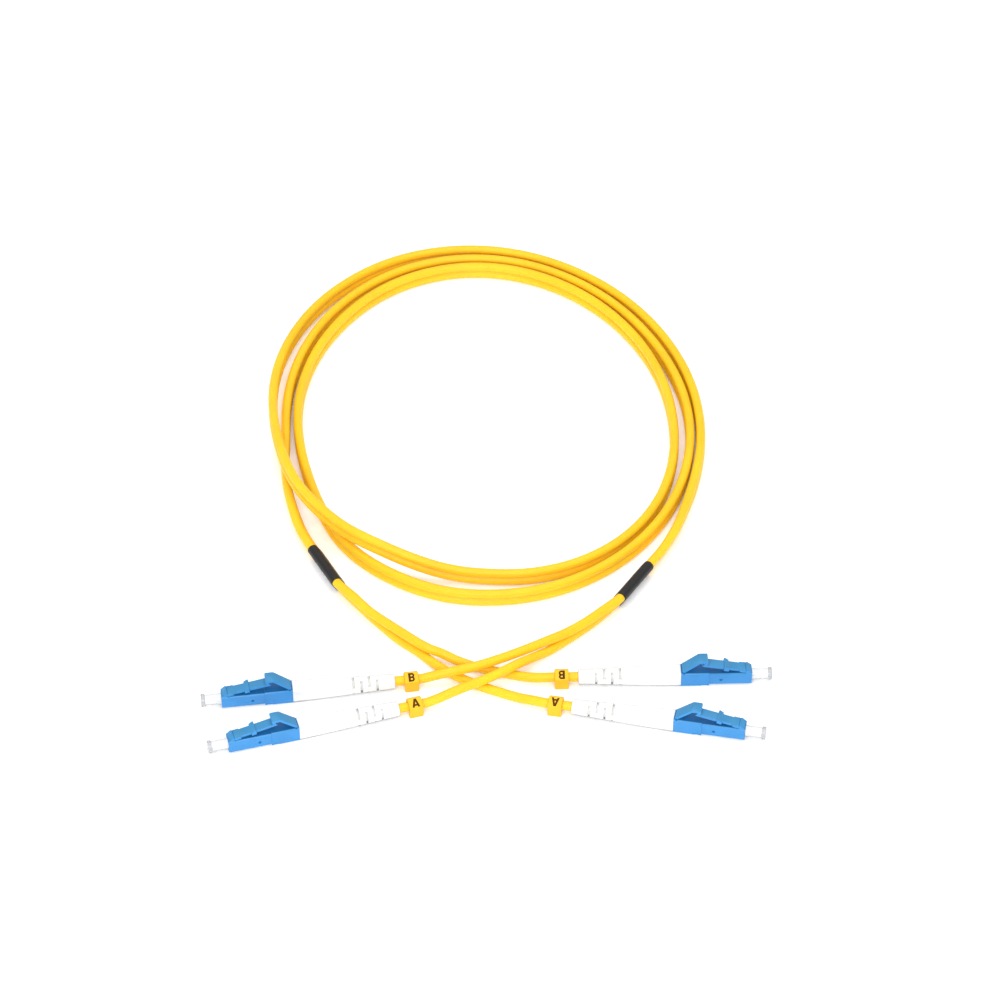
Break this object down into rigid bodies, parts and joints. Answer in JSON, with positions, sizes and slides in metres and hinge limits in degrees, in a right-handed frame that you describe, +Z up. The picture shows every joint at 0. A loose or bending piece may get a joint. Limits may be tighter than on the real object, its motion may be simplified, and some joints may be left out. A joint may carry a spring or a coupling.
{
  "type": "fiber optic patch cord",
  "caption": "Duplex fiber optic patch cord: flat yellow zip cord coiled in an oval, split to legs with blue latching plugs, white boots, clear dust caps and lettered cable markers.",
  "frame": {"origin": "on the table, under the middle of the rectangle that the four plugs cover", "axes": "+X to the right, along the plugs; +Y from the plugs towards the coil; +Z up from the table"},
  "size_m": [0.179, 0.2471, 0.0128],
  "materials": {
    "jacket_yellow": "satin PVC",
    "housing_blue": "moulded, half gloss",
    "boot_white": "soft white elastomer, satin",
    "cap_clear": "clear milky polyethylene",
    "marker_amber": "moulded, half gloss",
    "sleeve_black": "heat-shrink, satin",
    "zirconia": "polished",
    "flange_metal": "turned nickel silver",
    "spring_steel": "drawn stainless wire",
    "crimp_metal": "turned, bright",
    "aramid": "aramid strands",
    "fiber_buffer": "tight buffer"
  },
  "bodies": {
    "cord_and_plugs": {"duplex_cord": "jacket_yellow", "left_split_sleeve": "sleeve_black", "right_split_sleeve": "sleeve_black", "left_a_plug_housing": "housing_blue", "left_a_crimp_body": "crimp_metal", "left_a_crimp_sleeve": "crimp_metal", "left_a_aramid_yarn": "aramid", "left_a_strain_boot": "boot_white", "left_a_cable_marker": "marker_amber", "left_a_cord_leg": "jacket_yellow", "left_a_ferrule_spring": "spring_steel", "left_b_plug_housing": "housing_blue", "left_b_crimp_body": "crimp_metal", "left_b_crimp_sleeve": "crimp_metal", "left_b_aramid_yarn": "aramid", "left_b_strain_boot": "boot_white", "left_b_cable_marker": "marker_amber", "left_b_cord_leg": "jacket_yellow", "left_b_ferrule_spring": "spring_steel", "right_a_plug_housing": "housing_blue", "right_a_crimp_body": "crimp_metal", "right_a_crimp_sleeve": "crimp_metal", "right_a_aramid_yarn": "aramid", "right_a_strain_boot": "boot_white", "right_a_cable_marker": "marker_amber", "right_a_cord_leg": "jacket_yellow", "right_a_ferrule_spring": "spring_steel", "right_b_plug_housing": "housing_blue", "right_b_crimp_body": "crimp_metal", "right_b_crimp_sleeve": "crimp_metal", "right_b_aramid_yarn": "aramid", "right_b_strain_boot": "boot_white", "right_b_cable_marker": "marker_amber", "right_b_cord_leg": "jacket_yellow", "right_b_ferrule_spring": "spring_steel"},
    "left_a_latch": {"left_a_latch_arm": "housing_blue"},
    "left_a_trigger": {"left_a_trigger_arm": "housing_blue"},
    "left_a_float": {"left_a_ferrule": "zirconia", "left_a_ferrule_flange": "flange_metal", "left_a_buffered_fiber": "fiber_buffer"},
    "left_a_cap": {"left_a_dust_cap": "cap_clear"},
    "left_b_latch": {"left_b_latch_arm": "housing_blue"},
    "left_b_trigger": {"left_b_trigger_arm": "housing_blue"},
    "left_b_float": {"left_b_ferrule": "zirconia", "left_b_ferrule_flange": "flange_metal", "left_b_buffered_fiber": "fiber_buffer"},
    "left_b_cap": {"left_b_dust_cap": "cap_clear"},
    "right_a_latch": {"right_a_latch_arm": "housing_blue"},
    "right_a_trigger": {"right_a_trigger_arm": "housing_blue"},
    "right_a_float": {"right_a_ferrule": "zirconia", "right_a_ferrule_flange": "flange_metal", "right_a_buffered_fiber": "fiber_buffer"},
    "right_a_cap": {"right_a_dust_cap": "cap_clear"},
    "right_b_latch": {"right_b_latch_arm": "housing_blue"},
    "right_b_trigger": {"right_b_trigger_arm": "housing_blue"},
    "right_b_float": {"right_b_ferrule": "zirconia", "right_b_ferrule_flange": "flange_metal", "right_b_buffered_fiber": "fiber_buffer"},
    "right_b_cap": {"right_b_dust_cap": "cap_clear"}
  },
  "joints": [
    {"name": "left_a_trigger_press", "type": "hinge", "parent": "cord_and_plugs", "child": "left_a_trigger", "pos_m": [-0.05943, -0.0091, 0.0057], "axis": [0.2756, -0.9613, 0], "range_deg": [0, 12], "stiffness_Nm_per_rad": 0.1},
    {"name": "left_a_latch_bend", "type": "hinge", "parent": "cord_and_plugs", "child": "left_a_latch", "pos_m": [-0.07769, -0.01434, 0.00545], "axis": [-0.2756, 0.9613, 0], "range_deg": [0, 7]},
    {"name": "left_a_ferrule_float", "type": "slide", "parent": "cord_and_plugs", "child": "left_a_float", "axis": [0.9613, 0.2756, 0], "range_m": [0, 0.0008], "stiffness_N_per_m": 1200, "deforming": ["left_a_ferrule_spring"]},
    {"name": "left_a_cap_pull", "type": "slide", "parent": "cord_and_plugs", "child": "left_a_cap", "axis": [-0.9613, -0.2756, 0], "range_m": [0, 0.01]},
    {"name": "left_b_trigger_press", "type": "hinge", "parent": "cord_and_plugs", "child": "left_b_trigger", "pos_m": [-0.06181, 0.00748, 0.0057], "axis": [0.1392, -0.9903, 0], "range_deg": [0, 12], "stiffness_Nm_per_rad": 0.1},
    {"name": "left_b_latch_bend", "type": "hinge", "parent": "cord_and_plugs", "child": "left_b_latch", "pos_m": [-0.08062, 0.00483, 0.00545], "axis": [-0.1392, 0.9903, 0], "range_deg": [0, 7]},
    {"name": "left_b_ferrule_float", "type": "slide", "parent": "cord_and_plugs", "child": "left_b_float", "axis": [0.9903, 0.1392, 0], "range_m": [0, 0.0008], "stiffness_N_per_m": 1200, "deforming": ["left_b_ferrule_spring"]},
    {"name": "left_b_cap_pull", "type": "slide", "parent": "cord_and_plugs", "child": "left_b_cap", "axis": [-0.9903, -0.1392, 0], "range_m": [0, 0.01]},
    {"name": "right_a_trigger_press", "type": "hinge", "parent": "cord_and_plugs", "child": "right_a_trigger", "pos_m": [0.05899, -0.00542, 0.0057], "axis": [0.1908, 0.9816, 0], "range_deg": [0, 12], "stiffness_Nm_per_rad": 0.1},
    {"name": "right_a_latch_bend", "type": "hinge", "parent": "cord_and_plugs", "child": "right_a_latch", "pos_m": [0.07764, -0.00904, 0.00545], "axis": [-0.1908, -0.9816, 0], "range_deg": [0, 7]},
    {"name": "right_a_ferrule_float", "type": "slide", "parent": "cord_and_plugs", "child": "right_a_float", "axis": [-0.9816, 0.1908, 0], "range_m": [0, 0.0008], "stiffness_N_per_m": 1200, "deforming": ["right_a_ferrule_spring"]},
    {"name": "right_a_cap_pull", "type": "slide", "parent": "cord_and_plugs", "child": "right_a_cap", "axis": [0.9816, -0.1908, 0], "range_m": [0, 0.01]},
    {"name": "right_b_trigger_press", "type": "hinge", "parent": "cord_and_plugs", "child": "right_b_trigger", "pos_m": [0.06161, 0.01494, 0.0057], "axis": [-0.0262, 0.9997, 0], "range_deg": [0, 12], "stiffness_Nm_per_rad": 0.1},
    {"name": "right_b_latch_bend", "type": "hinge", "parent": "cord_and_plugs", "child": "right_b_latch", "pos_m": [0.0806, 0.01544, 0.00545], "axis": [0.0262, -0.9997, 0], "range_deg": [0, 7]},
    {"name": "right_b_ferrule_float", "type": "slide", "parent": "cord_and_plugs", "child": "right_b_float", "axis": [-0.9997, -0.0262, 0], "range_m": [0, 0.0008], "stiffness_N_per_m": 1200, "deforming": ["right_b_ferrule_spring"]},
    {"name": "right_b_cap_pull", "type": "slide", "parent": "cord_and_plugs", "child": "right_b_cap", "axis": [0.9997, 0.0262, 0], "range_m": [0, 0.01]}
  ],
  "couplings": [
    {"joint": "left_a_latch_bend", "follows": "left_a_trigger_press", "ratio": 0.56},
    {"joint": "left_b_latch_bend", "follows": "left_b_trigger_press", "ratio": 0.56},
    {"joint": "right_a_latch_bend", "follows": "right_a_trigger_press", "ratio": 0.56},
    {"joint": "right_b_latch_bend", "follows": "right_b_trigger_press", "ratio": 0.56}
  ]
}
